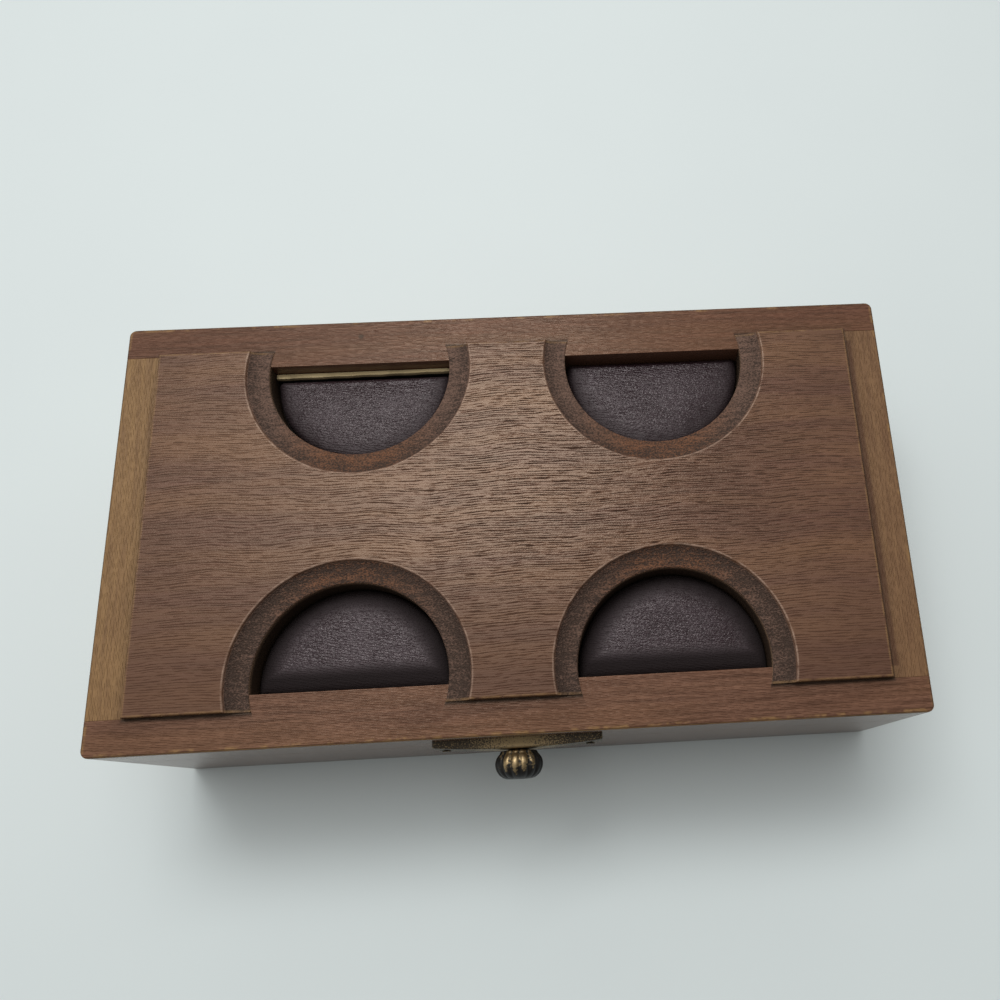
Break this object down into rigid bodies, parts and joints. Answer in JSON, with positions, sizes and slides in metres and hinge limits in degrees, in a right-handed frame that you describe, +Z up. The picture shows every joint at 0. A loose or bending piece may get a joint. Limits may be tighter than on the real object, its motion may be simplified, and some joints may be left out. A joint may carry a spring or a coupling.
{
  "type": "cufflink display box",
  "caption": "Hinged wooden box with padded compartments inside; its lid shows leather pads in half-round windows and lifts by a brass knob.",
  "frame": {"origin": "centre of the underside, where the box rests", "axes": "+Z up, +X along the long side, the knob's side faces -Y"},
  "size_m": [0.2, 0.1206, 0.062],
  "materials": {
    "wall_wood": "stained, satin lacquer",
    "panel_wood": "stained, open grain, satin",
    "plywood": "raw",
    "raw_wood": "raw",
    "felt": "felt",
    "lining_cloth": "velvet",
    "divider_cloth": "velvet over board",
    "pad_velvet": "velvet over wadding",
    "pad_leather": "fine grain, satin",
    "antique_brass": "antique patina",
    "hinge_brass": "satin",
    "plain_steel": "plain"
  },
  "bodies": {
    "base": {"base_front_wall": "wall_wood", "base_rear_wall": "wall_wood", "base_left_wall": "wall_wood", "base_right_wall": "wall_wood", "bottom_board": "plywood", "base_felt": "felt", "floor_lining": "lining_cloth", "lining_front": "lining_cloth", "lining_rear": "lining_cloth", "lining_left": "lining_cloth", "lining_right": "lining_cloth", "long_divider": "divider_cloth", "cross_divider_left": "divider_cloth", "cross_divider_middle": "divider_cloth", "cross_divider_right": "divider_cloth", "compartment_pad_1": "pad_velvet", "compartment_pad_2": "pad_velvet", "compartment_pad_3": "pad_velvet", "compartment_pad_4": "pad_velvet", "compartment_pad_5": "pad_velvet", "compartment_pad_6": "pad_velvet", "compartment_pad_7": "pad_velvet", "compartment_pad_8": "pad_velvet", "base_leaf_left": "hinge_brass", "base_leaf_right": "hinge_brass", "hinge_pin_left": "hinge_brass", "hinge_pin_right": "hinge_brass", "base_hinge_screws": "hinge_brass"},
    "lid": {"lid_front_wall": "wall_wood", "lid_rear_wall": "wall_wood", "lid_left_wall": "wall_wood", "lid_right_wall": "wall_wood", "raised_panel": "panel_wood", "pad_front_left": "pad_leather", "pad_front_right": "pad_leather", "pad_rear_left": "pad_leather", "pad_rear_right": "pad_leather", "packing_strip": "raw_wood", "pad_board": "plywood", "lid_lining": "lining_cloth", "lid_leaf_left": "hinge_brass", "lid_leaf_right": "hinge_brass", "lid_hinge_screws": "hinge_brass", "knob": "antique_brass", "knob_plate": "antique_brass", "knob_screw": "plain_steel", "plate_pins": "antique_brass"}
  },
  "joints": [
    {"name": "lid_hinge", "type": "hinge", "parent": "base", "child": "lid", "pos_m": [0, 0.052, 0.04], "axis": [-1, 0, 0], "range_deg": [0, 97]}
  ]
}
